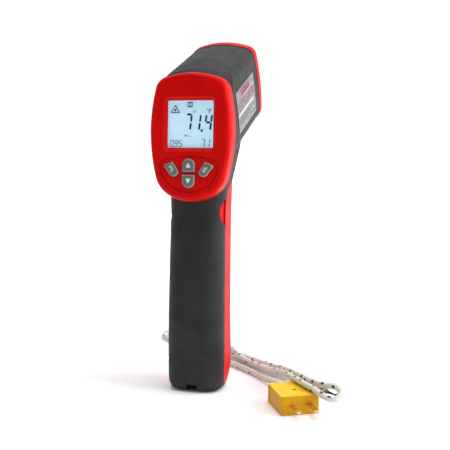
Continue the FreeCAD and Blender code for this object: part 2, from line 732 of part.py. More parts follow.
for x, y in FACE_SCREWS:
    head = rod(1.9, 1.4, x, y, BOARD_LOW - 1.45)
    shank = rod(0.9, 5.6, x, y, BOARD_LOW - 0.2)
    board_screws.append(fuse(head, shank))
sub_part("board_screws", group(*board_screws), FACE)

# ---------------------------------------------------------------- optics in the barrel
LENS_Y = -2.0
LASER_Y = dim("laser_offset")
sub_part("lens_retainer", cut(rod("tube_outer + 2.0", 2.2, 0, LENS_Y, 2.7),
                              cone(10.0, 7.4, 2.4, 0, LENS_Y, 2.6)), BARREL)
sub_part("ir_lens", rod("lens_radius", "lens_thickness", 0, LENS_Y, 5.2), BARREL)
sub_part("sensor_tube", cut(rod("tube_outer", "tube_length", 0, LENS_Y, 5.0),
                            rod("tube_inner", "tube_length + 2.0", 0, LENS_Y, 4.0)), BARREL)
TUBE_END = 5.0 + dim("tube_length")
sub_part("thermopile_sensor", fuse(rod("can_radius", "can_height", 0, LENS_Y,
                                       TUBE_END - dim("can_height") - 0.9),
                                   rod("can_radius + 0.8", 1.0, 0, LENS_Y, TUBE_END - 1.0)),
         BARREL)
sub_part("sensor_board", rounded(box(26.0, 26.0, "board_thickness", 0, LENS_Y, TUBE_END + 0.1),
                                 2.0), BARREL)
sub_part("laser_nozzle", cut(rod("laser_radius + 1.25", 3.4, 0, LASER_Y, 3.2),
                             rod("laser_radius - 0.8", 5.0, 0, LASER_Y, 2.4)), BARREL)
sub_part("laser_window", rod("laser_radius - 0.9", 0.8, 0, LASER_Y, 4.6), BARREL)
sub_part("laser_module", rod("laser_radius", "laser_length", 0, LASER_Y, 6.7), BARREL)

# the probe socket in the left side, with its two spring contacts
SOCKET_Z = 67.0
SOCKET_Y = -11.5
slots = [box(11.0, 1.5, 3.8, -22.0, SOCKET_Y, SOCKET_Z + side * dim("blade_spacing") / 2 - 1.9)
         for side in (1, -1)]
sub_part("thermocouple_socket", cut(box(10.6, 12.8, 21.8, -21.2, SOCKET_Y, SOCKET_Z - 10.9),
                                    *slots), BARREL)
contacts = [box(6.0, 1.3, 3.4, -19.5, SOCKET_Y, SOCKET_Z + side * dim("blade_spacing") / 2 - 1.7)
            for side in (1, -1)]
sub_part("socket_contacts", group(*contacts), BARREL)

# ---------------------------------------------------------------- trigger group
PIVOT = (dim("pivot_y"), dim("pivot_z"))


def trigger_shape():
    """The finger lever: a hollowed front, a straight back and a boss round its pin."""
    reach = dim("trigger_half_width")

    def at(y, z):
        return Vector(-reach, y, z)

    front = Part.Arc(at(31.2, 166.9), at(27.4, 157.0), at(28.2, 148.6))
    tip = Part.Arc(at(28.2, 148.6), at(27.0, 146.9), at(24.8, 147.6))
    back = Part.Arc(at(24.8, 147.6), at(21.8, 157.0), at(20.6, 171.0))
    cap = [at(20.6, 171.0), at(22.0, 175.8), at(26.8, 175.4), at(31.2, 166.9)]
    edges = [front.toShape(), tip.toShape(), back.toShape()]
    edges += [Part.LineSegment(a, b).toShape() for a, b in zip(cap, cap[1:])]
    lever = Part.Face(Part.Wire(edges)).extrude(Vector(2 * reach, 0, 0))
    soft = [edge for edge in lever.Edges if edge.BoundBox.XLength < 1e-6
            and edge.BoundBox.YMin > 24.0 and edge.BoundBox.ZMax < 167.5]
    lever = lever.makeFillet(1.8, soft)
    lever = lever.cut(Part.makeBox(4.2, 12.0, 9.0, Vector(-2.1, 16.0, 170.0)))
    return lever.cut(x_rod(dim("pivot_pin_radius") + 0.06, -20, 20, *PIVOT))


lever = trigger_shape()
shape_part("trigger", lever)
sub_part("trigger_pin", rod("pivot_pin_radius", 24.0, -12.0, *PIVOT, ALONG_X))
coil = cut(rod(2.5, 3.6, -1.8, *PIVOT, ALONG_X), rod(1.2, 6.0, -3.0, *PIVOT, ALONG_X))
sub_part("trigger_spring", fuse(coil, box(0.8, 0.8, 8.0, 0, PIVOT[0] - 2.0, PIVOT[1] + 0.4)))
sub_part("trigger_switch", fuse(box(10.0, 6.0, 7.0, 0, 11.0, 153.5),
                                box(3.0, 5.0, 2.4, 0, 16.3, 156.0)))
sub_part("switch_board", box(20.0, "board_thickness", 20.0, 0, 7.15, 147.0))

# ---------------------------------------------------------------- battery, door pin, screws
BATTERY_Y = dim("battery_back") + dim("battery_depth") / 2
BATTERY_TOP = dim("battery_low") + dim("battery_height")
sub_part("battery_9v", rounded(box("battery_width", "battery_depth", "battery_height", 0,
                                   BATTERY_Y, dim("battery_low")), 2.0))
sub_part("battery_studs", group(rod(2.7, "stud_height", -6.35, BATTERY_Y, BATTERY_TOP),
                                rod(3.4, "stud_height", 6.35, BATTERY_Y, BATTERY_TOP)))
sub_part("battery_snap", rounded(box(25.0, 12.5, 2.4, 0, BATTERY_Y,
                                     BATTERY_TOP + dim("stud_height") + 0.05), 2.5))
sub_part("battery_pad", box(18.0, 1.0, 26.0, 0, 12.0, 44.0))
sub_part("door_hinge_pin", rod("hinge_pin_radius", 23.0, -11.5, *HINGE, ALONG_X))

housing_screws = []
for y, z in SCREW_PLACES:
    head = rod("screw_head_radius", "screw_head_height", -10.9, y, z, ALONG_X)
    shank = rod("screw_radius", 18.6, -9.2, y, z, ALONG_X)
    housing_screws.append(fuse(head, shank))
sub_part("housing_screws", group(*housing_screws))


# ---------------------------------------------------------------- wires and the probe's lead
def tube(points, radius, label):
    """A round tube along straight runs joined by tangent arcs, as large as the runs allow."""
    corners = [Vector(*point) for point in points]
    edges = []
    start = corners[0]
    tightest = None
    for before, here, after in zip(corners, corners[1:], corners[2:]):
        into = (here - before).normalize()
        out = (after - here).normalize()
        turn = into.getAngle(out)
        reach = 0.45 * min((here - before).Length, (after - here).Length)
        bend = reach / math.tan(turn / 2)
        tightest = bend if tightest is None else min(tightest, bend)
        arc_start = here - into * reach
        arc_end = here + out * reach
        centre = here + (out - into).normalize() * (bend / math.cos(turn / 2))
        arc_middle = centre + (here - centre).normalize() * bend
        edges.append(Part.LineSegment(start, arc_start).toShape())
        edges.append(Part.Arc(arc_start, arc_middle, arc_end).toShape())
        start = arc_end
    edges.append(Part.LineSegment(start, corners[-1]).toShape())
    path = Part.Wire(edges)
    heading = (corners[1] - corners[0]).normalize()
    section = Part.Wire(Part.Circle(corners[0], heading, radius).toShape())
    solid = path.makePipeShell([section], True, False)
    expected = math.pi * radius ** 2 * path.Length
    print(f"{label}: length {path.Length:.1f}, tightest bend {tightest:.1f},"
          f" volume {solid.Volume:.1f} for {expected:.1f}")
    return solid


def battery_wires():
    """A red and a black wire from the battery snap up to the main board."""
    wires = []
    for x in (-2.6, 2.6):
        level = BATTERY_TOP + dim("stud_height") + 1.25
        points = [(x, -3.8, level), (x, -9.4, level + 1.0), (x, -9.6, level + 8.0),
                  (x, -8.6, level + 24.0), (x, -5.6, level + 44.0), (x, -6.6, level + 62.0),
                  (x, -12.9, level + 76.0)]
        wires.append(tube(points, 0.6, "battery wire"))
    return wires


red_wire, black_wire = battery_wires()
shape_part("battery_wire_red", red_wire)
shape_part("battery_wire_black", black_wire)
sensor_end = BARREL.multVec(Vector(0, -6.0, TUBE_END + 2.2))
sensor_mid = BARREL.multVec(Vector(4.0, -8.0, TUBE_END + 14.0))
board_end = FACE.multVec(Vector(-2.0, 2.0, BOARD_LOW - 0.1))
board_mid = FACE.multVec(Vector(-2.0, 3.0, BOARD_LOW - 8.0))
shape_part("sensor_cable", tube([tuple(point) for point in (sensor_end, sensor_mid, board_mid,
                                                            board_end)], 0.9, "sensor cable"))

# the plug: two halves round two flat blades, closed by a screw from below
HALF = dim("plug_height") / 2
PLUG_X = dim("plug_width") / 2
WAIST = PLUG_X - dim("waist_inset")
LENGTH = dim("plug_length")
FLANGE = dim("flange_length")
plug_right = [(PLUG_X, 0.0), (PLUG_X, LENGTH - FLANGE - 2.0), (WAIST, LENGTH - FLANGE - 1.2),
              (WAIST, LENGTH - FLANGE), (PLUG_X, LENGTH - FLANGE + 0.6), (PLUG_X, LENGTH)]
plug_points = plug_right + [(-x, y) for x, y in reversed(plug_right)]
BLADE_X = dim("blade_spacing") / 2
BLADES = (("positive", -BLADE_X, 2.6), ("negative", BLADE_X, 3.4))


def plug_corner(edge):
    """True for the upright edges at the plug's four outer corners."""
    size = edge.BoundBox
    return upright(edge) and (size.YMax < 0.01 or size.YMin > LENGTH - 0.01)


def plug_half(label, low):
    """One half of the plug body with room for the blades, the screw and the lead."""
    body = outline_body(label + "_moulding", plug_points, "dims.plug_height / 2 - 0.05", 1.2,
                        plug_corner)
    middle = HALF - low
    tools = [box(width + 0.1, 12.2, 1.1, x, 5.0, middle - 0.55) for name, x, width in BLADES]
    tools.append(rod(1.3, 20.0, 0, 13.0, -2.0))
    tools.append(rod(2.05, 9.0, 0, LENGTH - 8.5, middle, Rotation(Vector(1, 0, 0), -90)))
    if low < 1.0:
        tools.append(rod(2.5, 2.4, 0, 13.0, -0.6))
    return sub_part(label, cut(body, *tools), PLUG, z=low)


plug_half("plug_lower", 0.0)
plug_half("plug_upper", HALF + 0.05)
for name, x, width in BLADES:
    blade = rounded(box(width, "blade_length + 10.0", "blade_thickness", x,
                        -(dim("blade_length") - 10.0) / 2, HALF - dim("blade_thickness") / 2), 1.1)
    sub_part("plug_blade_" + name, blade, PLUG)
sub_part("plug_screw", fuse(rod(2.3, 1.4, 0, 13.0, 0.3), rod(1.2, 8.4, 0, 13.0, 1.6)), PLUG)
BACKWARDS = Rotation(Vector(1, 0, 0), -90)
sub_part("lead_gland", cone(3.6, 2.5, 7.8, 0, LENGTH + 0.05, HALF, BACKWARDS), PLUG)

# the lead's free stretch: out of the gland, down to the floor and along beside the hank
EXIT = PLUG.multVec(Vector(0, LENGTH + 7.9, HALF))
LEAD_ROUTE = [
    (EXIT.x, EXIT.y, EXIT.z),
    (EXIT.x - 5.225, EXIT.y + 8.526, EXIT.z),
    (47.2, 7.6, 3.6),
    (36.8, 17.4, 2.1),
    (23.6, 29.0, 2.1),
    (5.0, 44.6, 2.1),
    (-15.5, 61.6, 2.1),
    (-36.0, 77.4, 2.1),
    (-54.8, 93.6, 2.1),
    (-67.0, 107.0, 2.1),
    (-71.4, 116.4, 2.6),
]
shape_part("lead_tail", tube(LEAD_ROUTE, dim("lead_diameter") / 2, "lead_tail"))

# the hank: folded runs that lie on the floor and climb over the plug's rear corner
HANK_STATIONS = [(-77.0, 126.0, 3.3), (-30.0, 89.5, 3.3), (10.0, 57.5, 3.3), (36.0, 36.0, 3.4),
                 (52.0, 19.0, 6.4), (64.5, 3.0, 12.2), (75.0, -11.5, 16.2), (87.5, -27.0, 16.6),
                 (97.5, -37.5, 15.6)]


def hank_section(before, after, centre):
    """Rounded section of the hank, upright and square to the way it runs."""
    along = Vector(after[0] - before[0], after[1] - before[1], 0).normalize()
    half_height = dim("hank_height") / 2
    across = Vector(along.y, -along.x, 0)
    wire = round_rectangle(dim("hank_width") / 2, -half_height, half_height, 2.2, 0.0)
    matrix = FreeCAD.Matrix(across.x, 0, along.x, centre[0], across.y, 0, along.y, centre[1],
                            0, 1, 0, centre[2], 0, 0, 0, 1)
    return wire.transformGeometry(matrix)


def hank_solid():
    """The hank's sections joined by straight-sided stretches."""
    wires = []
    last = len(HANK_STATIONS) - 1
    for index, centre in enumerate(HANK_STATIONS):
        before = HANK_STATIONS[max(index - 1, 0)]
        after = HANK_STATIONS[min(index + 1, last)]
        wires.append(hank_section(before, after, centre))
    return Part.makeLoft(wires, True, True)


shape_part("lead_hank", hank_solid())
NEAR_END = Vector(*HANK_STATIONS[-1])
HEADING = (NEAR_END - Vector(*HANK_STATIONS[-2])).normalize()
TIP_TURN = Rotation(Vector(0, 0, 1), HEADING)
tip = fuse(rod("wire_radius", 8.0, 0.0, 0.0, 0.05), ball("bead_radius", 0, 0, 8.4))
sub_part("probe_bead", tip, WORLD, NEAR_END.x, NEAR_END.y, NEAR_END.z, TIP_TURN)

# ---------------------------------------------------------------- check and write
doc.recompute()
for obj in doc.Objects:
    if {"Invalid", "Error"} & set(obj.State):
        raise RuntimeError(f"{obj.Name} ({obj.Label}) did not compute: {obj.State}")
print(len(NODES), "sub-parts")
for node in NODES:
    shape = node.Shape
    if shape.isNull() or not shape.isValid() or not shape.Solids:
        raise RuntimeError(f"{node.Label} has no valid solid")
    print(f"{node.Label:22s} solids {len(shape.Solids)} volume {shape.Volume:9.1f}")
    shape.exportStep(f"parts/{node.Label}.step")
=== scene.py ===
# %% [markdown]
# # A pistol thermometer and its plug-in probe
# The moulded parts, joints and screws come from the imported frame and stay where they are. This
# lesson gives each of them a finish, and models what a frame can't hold: the braided probe lead,
# the figures on the display, the marks on the keys and the printing on the labels. Blender works
# in metres here. Small places and sizes are written in millimetres, which read more easily, and
# are multiplied by MM. The camera and the lead come first, because the rest is judged from that
# view.

# %% Load the frame
import bpy
import math
from mathutils import Matrix, Vector


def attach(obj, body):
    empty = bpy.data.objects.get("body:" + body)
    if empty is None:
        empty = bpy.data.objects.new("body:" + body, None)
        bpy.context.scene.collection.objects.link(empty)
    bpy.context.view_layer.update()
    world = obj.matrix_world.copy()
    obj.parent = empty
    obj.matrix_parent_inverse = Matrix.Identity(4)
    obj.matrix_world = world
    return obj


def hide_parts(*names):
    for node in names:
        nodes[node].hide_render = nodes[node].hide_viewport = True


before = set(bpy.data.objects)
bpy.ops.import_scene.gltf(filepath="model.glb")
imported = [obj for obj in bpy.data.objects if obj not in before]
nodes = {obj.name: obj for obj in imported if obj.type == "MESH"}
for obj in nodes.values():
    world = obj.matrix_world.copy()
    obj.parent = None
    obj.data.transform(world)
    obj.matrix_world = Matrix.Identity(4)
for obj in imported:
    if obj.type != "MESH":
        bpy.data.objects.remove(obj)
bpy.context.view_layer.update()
MM = 0.001

# %% [markdown]
# ## Camera
# A small object is shown with a long lens from well back, so that its upright edges stay upright.
# The camera stands to the right of the display's axis and a little above it. Its place follows
# from an azimuth, an elevation, a distance and the point that it looks at.

# %% Place the camera
AIM = Vector((0.01736, 0.0, 0.11262))
AZIMUTH = math.radians(16.97)
ELEVATION = math.radians(7.01)
DISTANCE = 0.600
back = Vector((math.sin(AZIMUTH) * math.cos(ELEVATION), -math.cos(AZIMUTH) * math.cos(ELEVATION),
               math.sin(ELEVATION)))
camera_data = bpy.data.cameras.new("camera")
camera_data.sensor_width = 36.0
camera_data.lens = 70.52
camera = bpy.data.objects.new("camera", camera_data)
bpy.context.scene.collection.objects.link(camera)
camera.location = AIM + back * DISTANCE
camera.rotation_mode = "QUATERNION"
camera.rotation_quaternion = (-back).to_track_quat("-Z", "Y")
bpy.context.scene.camera = camera
print("camera at", [round(value, 4) for value in camera.location])

# %% [markdown]
# ## The lead's route
# The probe's lead is a limp glass-fibre braid of 4 mm. It leaves the plug, drops to the table,
# runs back behind the grip, and is folded there and at the near end into a flat hank of runs that
# climbs over the plug's corner. One NURBS curve of order three carries the whole length, because
# a folded cord has no corners. The order and the end setting come after the points, since an
# order set on an empty spline is lost.

# %% Draw the lead as one smooth curve
LEAD_DIAMETER = 0.004
LEAD_POINTS_MM = [
    # out of the plug, down to the table and back beside the hank
    (60.59, -11.29, 6.1), (55.37, -2.76, 6.1), (47.6, 8.8, 3.6), (39.0, 20.4, 2.1),
    (28.0, 31.6, 2.1), (10.0, 46.6, 2.1), (-10.0, 62.6, 2.1), (-32.0, 79.6, 2.1),
    (-51.0, 94.0, 2.1),
    # the first fold, behind the grip
    (-68.0, 107.5, 2.2), (-73.0, 118.5, 2.3), (-62.5, 125.5, 2.3), (-51.0, 118.5, 2.3),
    # forward again, over the other runs and along the plug's far edge
    (-27.0, 98.0, 2.3), (-5.0, 76.5, 3.6), (15.1, 57.4, 5.6), (32.8, 42.8, 6.2),
    (43.5, 30.8, 7.8), (53.0, 18.6, 10.4), (63.5, 3.5, 13.4), (74.2, -11.6, 15.0),
    (83.5, -23.5, 15.8), (92.8, -31.4, 16.4),
    # the near fold, round the sensing end
    (102.0, -35.8, 17.8), (106.8, -41.8, 14.8), (101.6, -46.8, 11.8), (94.8, -43.2, 12.8),
    # back across the top of the plug and along the near side of the hank
    (88.0, -36.6, 14.4), (76.5, -23.6, 14.5), (66.0, -11.0, 14.4), (57.5, 1.5, 12.8),
    (49.5, 14.6, 9.2), (40.5, 26.0, 7.0), (29.0, 37.6, 5.9), (16.0, 48.4, 6.2),
    (6.0, 61.6, 8.3), (-8.0, 79.0, 8.3), (-22.0, 95.0, 6.6),
    # the second fold, on top of the first
    (-39.5, 113.0, 6.4), (-50.0, 120.0, 6.4), (-58.5, 112.6, 6.4), (-52.5, 104.0, 6.4),
    # forward to the sensing end, under the others and beside the plug
    (-38.0, 95.5, 6.3), (-27.0, 88.0, 4.6), (-14.0, 77.5, 2.2), (2.0, 63.4, 2.1),
    (20.0, 49.6, 2.1), (38.5, 35.4, 2.1), (51.5, 28.6, 2.1), (64.0, 15.0, 3.0),
    (75.5, -1.0, 6.6), (84.5, -15.0, 10.2), (90.5, -26.0, 12.2), (94.0, -31.6, 12.8),
]


def select_only(*objects):
    """Make these objects, and nothing else, what the next operator works on."""
    bpy.ops.object.select_all(action="DESELECT")
    for item in objects:
        item.select_set(True)
    bpy.context.view_layer.objects.active = objects[0]


def route_curve(name, points_mm):
    """An open NURBS curve object through the control points, without thickness."""
    data = bpy.data.curves.new(name, "CURVE")
    data.dimensions = "3D"
    spline = data.splines.new("NURBS")
    spline.points.add(len(points_mm) - 1)
    for point, place in zip(spline.points, points_mm):
        point.co = (*(value * MM for value in place), 1.0)
    spline.order_u = 3
    spline.use_endpoint_u = True
    data.resolution_u = 14
    curve = bpy.data.objects.new(name, data)
    bpy.context.scene.collection.objects.link(curve)
    return curve


def curve_points(curve):
    """The points that Blender itself lays along a curve, in order."""
    bpy.context.view_layer.update()
    mesh = bpy.data.meshes.new_from_object(curve)
    places = [vertex.co.copy() for vertex in mesh.vertices]
    bpy.data.meshes.remove(mesh)
    return places


route = route_curve("lead_route", LEAD_POINTS_MM)
lead_line = curve_points(route)
bpy.data.objects.remove(route)

# %% [markdown]
# A braid is read from its surface: crossed yarns, with a dark tracer yarn that shows as short
# dashes. That pattern has to follow the cord round its folds, so the tube is built ring by ring
# along the line, with a UV map that counts metres along the cord and turns round it. A ring is
# carried from one point to the next with the least twist, or the braid would wring.


# %% Build the braided tube with its own UV map
def even_points(line, step):
    """Points at equal steps along a line of points."""
    result = [line[0]]
    left = step
    for start, end in zip(line, line[1:]):
        length = (end - start).length
        travelled = 0.0
        while length - travelled >= left:
            travelled += left
            result.append(start.lerp(end, travelled / length))
            left = step
        left -= length - travelled
    if (result[-1] - line[-1]).length > step * 0.3:
        result.append(line[-1])
    return result


def tube_mesh(name, line, radius, sides):
    """A round closed tube; u runs once round it and v counts metres along it."""
    vertices, faces, turns = [], [], []
    across = Vector((0, 0, 1))
    travelled = 0.0
    for index, place in enumerate(line):
        before = line[max(index - 1, 0)]
        after = line[min(index + 1, len(line) - 1)]
        ahead = (after - before).normalized()
        across = (across - ahead * across.dot(ahead)).normalized()
        side = ahead.cross(across)
        travelled += (place - before).length
        for step in range(sides):
            angle = math.tau * step / sides
            vertices.append(place + (across * math.cos(angle) + side * math.sin(angle)) * radius)
        turns.append(travelled)
    for ring in range(len(line) - 1):
        for step in range(sides):
            a = ring * sides + step
            b = ring * sides + (step + 1) % sides
            faces.append((a, b, b + sides, a + sides))
    faces.append(tuple(reversed(range(sides))))
    faces.append(tuple(range((len(line) - 1) * sides, len(line) * sides)))
    mesh = bpy.data.meshes.new(name)
    mesh.from_pydata([tuple(vertex) for vertex in vertices], [], faces)
    layer = mesh.uv_layers.new(name="braid")
    for polygon in mesh.polygons:
        polygon.use_smooth = len(polygon.vertices) == 4
        for corner in range(4 if polygon.use_smooth else 0):
            loop = polygon.loop_start + corner
            vertex = mesh.loops[loop].vertex_index
            ring, step = divmod(vertex, sides)
            wrapped = step == 0 and any(
                mesh.loops[polygon.loop_start + other].vertex_index % sides == sides - 1
                for other in range(4))
            layer.data[loop].uv = ((sides if wrapped else step) / sides, turns[ring])
    tube = bpy.data.objects.new(name, mesh)
    bpy.context.scene.collection.objects.link(tube)
    return tube


RING_STEP = 0.0012
lead_path = even_points(lead_line, RING_STEP)
lead = tube_mesh("probe_lead", lead_path, LEAD_DIAMETER / 2, 16)
print("lead tube", len(lead.data.polygons), "faces")

# %% [markdown]
# At the sensing end the braid stops, and the two bare wires run on side by side into a small
# welded bead. They are made the same way as the lead, with thinner tubes. The bead starts as a
# ball and is made a little uneven, because a weld never cools to a perfect one.


# %% Model the bare wires and the welded bead
def primitive_done(name):
    """Name the primitive that was just added and hand it back."""
    item = bpy.context.object
    item.name = name
    item.data.name = name
    return item


def place_in_mesh(item, matrix=None):
    """Put an object's place into its mesh, so that the object itself is at the origin."""
    if matrix is not None:
        item.matrix_world = matrix @ item.matrix_world
    bpy.context.view_layer.update()
    select_only(item)
    bpy.ops.object.transform_apply(location=True, rotation=True, scale=True)
    return item


def join(name, items):
    """One object out of several meshes."""
    select_only(*items)
    if len(items) > 1:
        bpy.ops.object.join()
    return primitive_done(name)


END = lead_path[-1]
BEAD = Vector((0.1023, -0.0397, 0.0130))
BEAD_RADIUS = 0.0014
WIRE_RADIUS = 0.0005
WIRE_OFFSET = 0.0007
bare = []
for offset in (-WIRE_OFFSET, WIRE_OFFSET):
    side = Vector((0.6, 0.4, 0.6)) * offset
    start = lead_path[-3] + side
    wire = route_curve("wire", [tuple(point / MM) for point in (
        start, END + side, END + side + Vector((0.0016, -0.0028, 0.0004)),
        BEAD + Vector((-0.0024, 0.0020, 0.0002)), BEAD)])
    bare.append(tube_mesh("bare", curve_points(wire), WIRE_RADIUS, 10))
    bpy.data.objects.remove(wire)
bpy.ops.mesh.primitive_uv_sphere_add(segments=24, ring_count=14, radius=BEAD_RADIUS,
                                     location=BEAD)
bead = primitive_done("bead")
bead.scale = (1.0, 0.9, 1.05)
bead_and_wires = join("sensing_bead", [place_in_mesh(bead)] + bare)
bpy.ops.object.shade_smooth_by_angle(angle=math.radians(40))
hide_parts("probe_bead")
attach(bead_and_wires, "probe")
print("bead", [round(value, 4) for value in BEAD])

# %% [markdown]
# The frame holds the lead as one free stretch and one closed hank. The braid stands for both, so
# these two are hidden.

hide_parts("lead_tail", "lead_hank")
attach(lead, "probe")

# %% [markdown]
# ## Finishes
# A moulded surface is never one flat colour. It has a fine spark-eroded grain, small shifts of
# tone, and gloss that varies where it is handled. Each finish below is a Principled shader whose
# colour, roughness and bump come from noise at the real scale, in metres, on Object coordinates.


# %% A helper for node materials
def finish_of(name, colour, roughness, **sockets):
    """A new material; sockets sets more inputs of the Principled shader by their names."""
    material = bpy.data.materials.new(name)
    material.use_nodes = True
    shader = material.node_tree.nodes["Principled BSDF"]
    shader.inputs["Base Color"].default_value = (*colour, 1.0)
    shader.inputs["Roughness"].default_value = roughness
    for socket, value in sockets.items():
        shader.inputs[socket.replace("_", " ")].default_value = value
    material.diffuse_color = (*colour, 1.0)
    return material


def node(material, kind, **inputs):
    """Add a node and set its inputs by name."""
    item = material.node_tree.nodes.new("ShaderNode" + kind)
    for name, value in inputs.items():
        item.inputs[name].default_value = value
    return item


def link(material, start, end):
    material.node_tree.links.new(start, end)


def shader_of(material):
    return material.node_tree.nodes["Principled BSDF"]


print("helpers for finishes are ready")

# %% [markdown]
# Most of a finish is made by a few steps that repeat: noise at a given scale, a colour between
# two tones, a number spread over a new range, and a fine relief. Each becomes a helper here.


# %% Noise, tone and grain
def noise(material, scale, detail=3.0, stretch=(1, 1, 1)):
    """Noise on Object coordinates; scale is in cells per metre."""
    place = node(material, "TexCoord")
    mapping = node(material, "Mapping", Scale=stretch)
    link(material, place.outputs["Object"], mapping.inputs["Vector"])
    texture = node(material, "TexNoise", Scale=scale, Detail=detail, Roughness=0.55)
    link(material, mapping.outputs["Vector"], texture.inputs["Vector"])
    return texture.outputs["Fac"]


def tone(material, source, low, high, start=0.35, end=0.65):
    """Colour between low and high, as the source goes from start to end."""
    ramp = node(material, "ValToRGB")
    ramp.color_ramp.elements[0].position = start
    ramp.color_ramp.elements[0].color = (*low, 1.0)
    ramp.color_ramp.elements[1].position = end
    ramp.color_ramp.elements[1].color = (*high, 1.0)
    link(material, source, ramp.inputs["Fac"])
    return ramp.outputs["Color"]


def spread(material, source, start, end, low=0.0, high=1.0):
    """A number that goes from low to high as the source goes from start to end."""
    item = node(material, "MapRange", **{"From Min": start, "From Max": end, "To Min": low,
                                         "To Max": high})
    link(material, source, item.inputs["Value"])
    return item.outputs["Result"]


def vary(material, source, socket, low, high):
    """Drive a number on the shader between low and high."""
    link(material, spread(material, source, 0.3, 0.7, low, high),
         shader_of(material).inputs[socket])


def grain(material, source, depth, strength=1.0):
    """Raise the surface by the source, depth in metres, on top of any grain already there."""
    bump = node(material, "Bump", Strength=strength, Distance=depth)
    link(material, source, bump.inputs["Height"])
    normal = shader_of(material).inputs["Normal"]
    if normal.is_linked:
        link(material, normal.links[0].from_socket, bump.inputs["Normal"])
    link(material, bump.outputs["Normal"], normal)


print("helpers for noise, tone and grain are ready")

# %% [markdown]
# The display bezel, the front ring, the trigger and the battery door are one red plastic with a
# satin polish. The housing halves are a dark grey plastic with a coarser grain, which hides
# fingerprints and gives the hand a hold.


# %% The moulded plastics
def moulded(name, low, high, gloss, grain_scale, grain_depth, **sockets):
    """A moulded plastic: clouded colour, fine grain, and gloss that wears in patches."""
    material = finish_of(name, high, sum(gloss) / 2, **sockets)
    clouds = noise(material, 55.0, 4.0)
    link(material, tone(material, clouds, low, high), shader_of(material).inputs["Base Color"])
    vary(material, noise(material, 140.0, 5.0), "Roughness", *gloss)
    grain(material, noise(material, grain_scale, 2.0), grain_depth)
    return material


def dress(material, *names):
    """Give CAD nodes or pieces this one finish."""
    for name in names:
        item = nodes[name] if isinstance(name, str) else name
        item.data.materials.clear()
        item.data.materials.append(material)


red = moulded("red_plastic", (0.60, 0.0012, 0.0012), (0.70, 0.0022, 0.002), (0.38, 0.48),
              2600.0, 0.000012, Specular_IOR_Level=0.10)
grey = moulded("grey_plastic", (0.019, 0.020, 0.020), (0.028, 0.029, 0.029), (0.50, 0.62),
               1500.0, 0.00005, Specular_IOR_Level=0.22)
black = moulded("black_plastic", (0.006, 0.006, 0.007), (0.012, 0.012, 0.013), (0.40, 0.55),
                1800.0, 0.00002)
key_grey = moulded("key_rubber", (0.115, 0.140, 0.138), (0.150, 0.175, 0.170), (0.45, 0.6),
                   2200.0, 0.000015)
yellow = moulded("yellow_plastic", (0.80, 0.50, 0.0005), (0.90, 0.60, 0.0006), (0.42, 0.54),
                 1900.0, 0.00003, Specular_IOR_Level=0.2)
white = moulded("white_plastic", (0.74, 0.74, 0.72), (0.84, 0.84, 0.82), (0.4, 0.5), 1800.0,
                0.00001)
dress(red, "battery_door", "rear_bezel", "front_bezel", "trigger")
dress(grey, "shell_right", "shell_left")
dress(black, "front_plate", "lcd_frame", "buzzer", "board_chips", "lens_retainer",
      "laser_nozzle", "trigger_switch", "battery_snap")
dress(key_grey, "button_up", "button_down", "button_left", "button_right")
dress(yellow, "plug_lower", "plug_upper", "lead_gland", "thermocouple_socket")
dress(white, "backlight")
print("moulded finishes", len(bpy.data.materials))

# %% [markdown]
# Metal parts differ in how they were made. Screws and pins are drawn steel with fine lines along
# them, so their noise is stretched. The contacts and blades are a copper alloy that has tarnished
# a little in patches.


# %% The metals
def metal(name, low, high, gloss, stretch=(1, 1, 1)):
    """A bare metal; stretch draws its fine lines out along an axis."""
    material = finish_of(name, high, sum(gloss) / 2, Metallic=1.0)
    patches = noise(material, 260.0, 5.0)
    link(material, tone(material, patches, low, high), shader_of(material).inputs["Base Color"])
    vary(material, noise(material, 900.0, 3.0, stretch), "Roughness", *gloss)
    grain(material, noise(material, 2400.0, 2.0, stretch), 0.000006)
    return material


steel = metal("plated_steel", (0.42, 0.42, 0.44), (0.62, 0.62, 0.64), (0.22, 0.38), (0.15, 1, 1))
brass = metal("contact_metal", (0.70, 0.50, 0.25), (0.86, 0.66, 0.36), (0.20, 0.34))
dark_wire = metal("heated_wire", (0.030, 0.028, 0.030), (0.10, 0.09, 0.085), (0.35, 0.5))
dress(steel, "key_switches", "board_screws", "thermopile_sensor", "trigger_pin",
      "trigger_spring", "battery_studs", "door_hinge_pin", "housing_screws", "plug_screw")
dress(brass, "sensor_tube", "laser_module", "socket_contacts", "plug_blade_positive",
      "plug_blade_negative")
dress(dark_wire, bead_and_wires)
print("metals", steel.name, brass.name, dark_wire.name)

# %% [markdown]
# The parts inside are seen when the battery door is open, or through the window. The circuit
# boards have a green solder mask with tracks that show as a weave of slightly lighter lines; the
# battery has a printed metal jacket; foam, silicone and wire jackets are dull.

# %% The inner materials
board = finish_of("solder_mask", (0.01, 0.10, 0.04), 0.3, Coat_Weight=0.4, Coat_Roughness=0.1)
tracks = node(board, "TexBrick", Scale=420.0, Color1=(0.008, 0.085, 0.03, 1),
              Color2=(0.012, 0.12, 0.05, 1), Mortar=(0.03, 0.20, 0.08, 1))
place = node(board, "TexCoord")
turned = node(board, "Mapping", Rotation=(math.radians(90), 0, 0))
link(board, place.outputs["Object"], turned.inputs["Vector"])
link(board, turned.outputs["Vector"], tracks.inputs["Vector"])
link(board, tracks.outputs["Color"], shader_of(board).inputs["Base Color"])
grain(board, tracks.outputs["Fac"], 0.00004)
dress(board, "main_board", "sensor_board", "switch_board")

